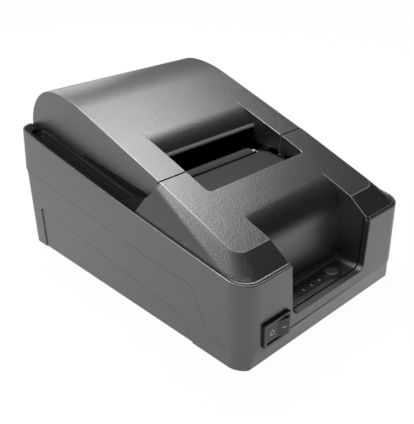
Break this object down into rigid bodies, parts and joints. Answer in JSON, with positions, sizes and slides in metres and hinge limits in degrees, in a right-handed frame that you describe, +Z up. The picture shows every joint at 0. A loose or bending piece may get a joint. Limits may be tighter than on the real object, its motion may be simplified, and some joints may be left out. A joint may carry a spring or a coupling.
{
  "type": "receipt printer",
  "caption": "Desktop receipt printer with a rear-hinged lid over a drop-in paper bin, a paper window with a tear bar, a front recess with a feed button, and a rocker switch.",
  "frame": {"origin": "under the middle of the whole printer, on the surface it stands on", "axes": "+Y from the front wall with the rocker switch to the rear hinge, +Z up, +X to the right seen from the front"},
  "size_m": [0.143, 0.2177, 0.1167],
  "materials": {
    "case_plastic": "fine-grained matt",
    "base_plastic": "matt",
    "foot_rubber": "matt",
    "screw_steel": "zinc-plated",
    "inner_plastic": "matt",
    "ceramic": "glazed",
    "aluminium": "extruded",
    "spring_steel": "bright",
    "motor_steel": "drawn",
    "black_plastic": "moulded",
    "circuit_board": "solder mask",
    "capacitor_sleeve": "shrink sleeve",
    "shell_steel": "tinned",
    "lamp_plastic": "clear moulded",
    "panel_plastic": "satin",
    "switch_plastic": "satin",
    "terminal_brass": "tinned",
    "bushing_plastic": "acetal",
    "platen_rubber": "ground",
    "gear_plastic": "acetal",
    "key_plastic": "satin"
  },
  "bodies": {
    "base": {"lower_case": "case_plastic", "base_plate": "base_plastic", "rubber_feet": "foot_rubber", "case_screws": "screw_steel", "upper_housing": "case_plastic", "paper_bin": "inner_plastic", "bin_screws": "screw_steel", "mechanism_frame": "inner_plastic", "mechanism_screws": "screw_steel", "print_head": "ceramic", "heat_sink": "aluminium", "head_springs": "spring_steel", "tear_plate": "inner_plastic", "tear_bar": "spring_steel", "stepper_motor": "motor_steel", "idler_pin": "spring_steel", "paper_sensor": "black_plastic", "main_board": "circuit_board", "controller_chip": "black_plastic", "capacitors": "capacitor_sleeve", "board_screws": "screw_steel", "dc_jack": "black_plastic", "usb_port": "shell_steel", "drawer_port": "black_plastic", "button_board": "circuit_board", "button_board_screws": "screw_steel", "tact_switch": "black_plastic", "indicator_lamps": "lamp_plastic", "indicator_panel": "panel_plastic", "switch_housing": "switch_plastic", "switch_terminals": "terminal_brass"},
    "lid": {"lid_cover": "case_plastic", "lid_liner": "inner_plastic", "lid_screws": "screw_steel", "hinge_pins": "spring_steel", "platen_bushings": "bushing_plastic"},
    "platen": {"platen_shaft": "spring_steel", "platen_roller": "platen_rubber", "platen_gear": "gear_plastic"},
    "idler": {"idler_gear": "gear_plastic"},
    "motor_rotor": {"motor_pinion": "terminal_brass"},
    "feed_key": {"feed_button": "key_plastic"},
    "rocker_key": {"rocker": "switch_plastic"}
  },
  "joints": [
    {"name": "lid_hinge", "type": "hinge", "parent": "base", "child": "lid", "pos_m": [0, 0.09763, 0.083], "axis": [-1, 0, 0], "range_deg": [0, 85]},
    {"name": "platen_spin", "type": "hinge", "parent": "lid", "child": "platen", "pos_m": [0, -0.01387, 0.071], "axis": [1, 0, 0], "continuous": true},
    {"name": "idler_spin", "type": "hinge", "parent": "base", "child": "idler", "pos_m": [-0.038, -0.01218, 0.05526], "axis": [1, 0, 0], "continuous": true},
    {"name": "motor_spin", "type": "hinge", "parent": "base", "child": "motor_rotor", "pos_m": [-0.038, -0.02125, 0.04619], "axis": [1, 0, 0], "continuous": true},
    {"name": "feed_button_press", "type": "slide", "parent": "base", "child": "feed_key", "axis": [0, 0, -1], "range_m": [0, 0.001], "stiffness_N_per_m": 1200, "springref_m": -0.0005},
    {"name": "rocker_hinge", "type": "hinge", "parent": "base", "child": "rocker_key", "pos_m": [-0.0475, -0.10437, 0.0213], "axis": [0, 0, 1], "range_deg": [0, 16]}
  ],
  "couplings": [
    {"joint": "idler_spin", "follows": "platen_spin", "ratio": -0.75},
    {"joint": "motor_spin", "follows": "platen_spin", "ratio": 1.8}
  ]
}
